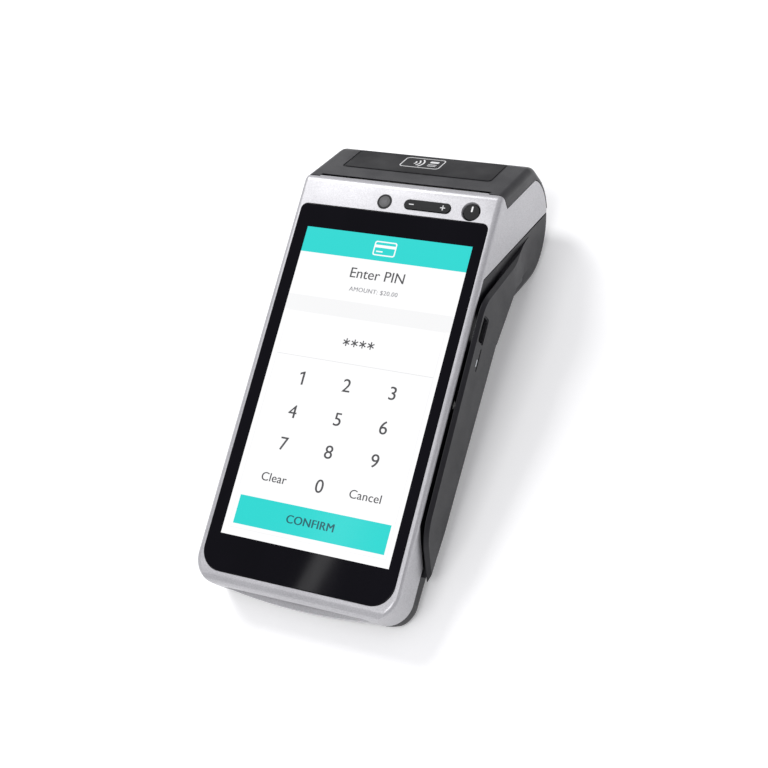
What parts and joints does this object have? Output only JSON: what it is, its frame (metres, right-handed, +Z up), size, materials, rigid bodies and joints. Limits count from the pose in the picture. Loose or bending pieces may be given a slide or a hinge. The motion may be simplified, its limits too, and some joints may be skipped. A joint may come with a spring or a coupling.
{
  "type": "card payment terminal",
  "caption": "Handheld card payment terminal with a large touch screen, receipt printer under a hinged paper door, side swipe rail and an end card slot.",
  "frame": {"origin": "middle of the overall footprint, on the table the terminal lies on", "axes": "+Z up, +Y towards the printer head, +X to the right when the screen is read; the screen slopes up by 12.9 degrees towards the head"},
  "size_m": [0.0852, 0.1867, 0.0561],
  "materials": {
    "frame_silver": "satin silver paint",
    "cover_glass": "polished black-printed glass",
    "gasket_black": "matte",
    "display_stack": "satin film",
    "die_cast": "cast",
    "dark_window": "polished",
    "camera_black": "matte",
    "key_dark": "satin",
    "stamped_steel": "satin",
    "circuit_board": "solder mask",
    "bright_steel": "polished",
    "shell_dark": "fine spark-eroded texture",
    "panel_dark": "fine spark-eroded texture",
    "copper": "bare",
    "roller_rubber": "ground",
    "gear_nylon": "satin",
    "bronze": "satin",
    "head_ceramic": "glazed",
    "aluminium": "satin",
    "spring_steel": "satin",
    "motor_can": "satin",
    "paper": "uncoated paper",
    "cardboard": "plain",
    "inner_plastic": "matte",
    "light_pipe": "frosted",
    "battery_wrap": "film",
    "gold": "gold plated",
    "foot_rubber": "matte",
    "reader_plastic": "matte",
    "screw_steel": "black oxide"
  },
  "bodies": {
    "terminal": {"front_frame": "frame_silver", "cover_glass": "cover_glass", "glass_gasket": "gasket_black", "lcd_panel": "display_stack", "lcd_backlight": "display_stack", "screen_carrier": "die_cast", "camera_window": "dark_window", "front_camera": "camera_black", "key_switches": "stamped_steel", "key_board": "circuit_board", "tear_bar": "bright_steel", "door_hinge_pins": "bright_steel", "printer_chassis": "stamped_steel", "print_head": "head_ceramic", "head_heat_sink": "aluminium", "head_springs": "spring_steel", "feed_motor": "motor_can", "idler_axle": "bright_steel", "paper_bucket": "inner_plastic", "rear_housing": "shell_dark", "swipe_rail": "shell_dark", "mag_read_head": "motor_can", "mag_head_spring": "spring_steel", "usb_port": "stamped_steel", "status_light": "light_pipe", "battery_pack": "battery_wrap", "battery_tray": "inner_plastic", "battery_contacts": "gold", "speaker": "camera_black", "rubber_feet": "foot_rubber", "main_board": "circuit_board", "security_shield": "stamped_steel", "processor_shield": "stamped_steel", "coin_cell": "bright_steel", "chip_card_reader": "reader_plastic", "chip_contacts": "gold", "sam_sockets": "stamped_steel", "vibration_motor": "motor_can", "side_antenna": "copper", "housing_screws": "screw_steel", "chassis_screws": "screw_steel"},
    "door": {"paper_door": "shell_dark", "door_panel": "panel_dark", "nfc_antenna": "copper", "platen_bushings": "bronze"},
    "platen": {"platen_roller": "roller_rubber", "platen_shaft": "bright_steel", "platen_gear": "gear_nylon"},
    "idler": {"idler_gear": "gear_nylon"},
    "pinion": {"motor_pinion": "bronze"},
    "roll": {"paper_roll": "paper", "roll_core": "cardboard"},
    "rocker": {"volume_rocker": "key_dark"},
    "power": {"power_button": "key_dark"},
    "cover": {"battery_cover": "shell_dark"}
  },
  "joints": [
    {"name": "door_hinge", "type": "hinge", "parent": "terminal", "child": "door", "pos_m": [-0.00145, 0.08859, 0.01184], "axis": [-1, 0, 0], "range_deg": [0, 85]},
    {"name": "platen_spin", "type": "hinge", "parent": "door", "child": "platen", "pos_m": [-0.00145, 0.06393, 0.04719], "axis": [1, 0, 0], "continuous": true},
    {"name": "idler_spin", "type": "hinge", "parent": "terminal", "child": "idler", "pos_m": [-0.00145, 0.05608, 0.03865], "axis": [1, 0, 0], "continuous": true},
    {"name": "pinion_spin", "type": "hinge", "parent": "terminal", "child": "pinion", "pos_m": [-0.00145, 0.0457, 0.03809], "axis": [1, 0, 0], "continuous": true},
    {"name": "roll_spin", "type": "hinge", "parent": "terminal", "child": "roll", "pos_m": [-0.00145, 0.07117, 0.0232], "axis": [1, 0, 0], "continuous": true},
    {"name": "volume_rock", "type": "hinge", "parent": "terminal", "child": "rocker", "pos_m": [0.01135, 0.05678, 0.05243], "axis": [0, 0.9748, 0.2233], "range_deg": [-2.5, 2.5], "stiffness_Nm_per_rad": 0.32},
    {"name": "power_press", "type": "slide", "parent": "terminal", "child": "power", "axis": [0, 0.2233, -0.9748], "range_m": [0, 0.0005], "stiffness_N_per_m": 4000},
    {"name": "battery_cover_slide", "type": "slide", "parent": "terminal", "child": "cover", "axis": [0, 0.9874, 0.1582], "range_m": [0, 0.006]}
  ],
  "couplings": [
    {"joint": "idler_spin", "follows": "platen_spin", "ratio": -0.45},
    {"joint": "pinion_spin", "follows": "platen_spin", "ratio": 1.5},
    {"joint": "roll_spin", "follows": "platen_spin", "ratio": 0.19737}
  ]
}
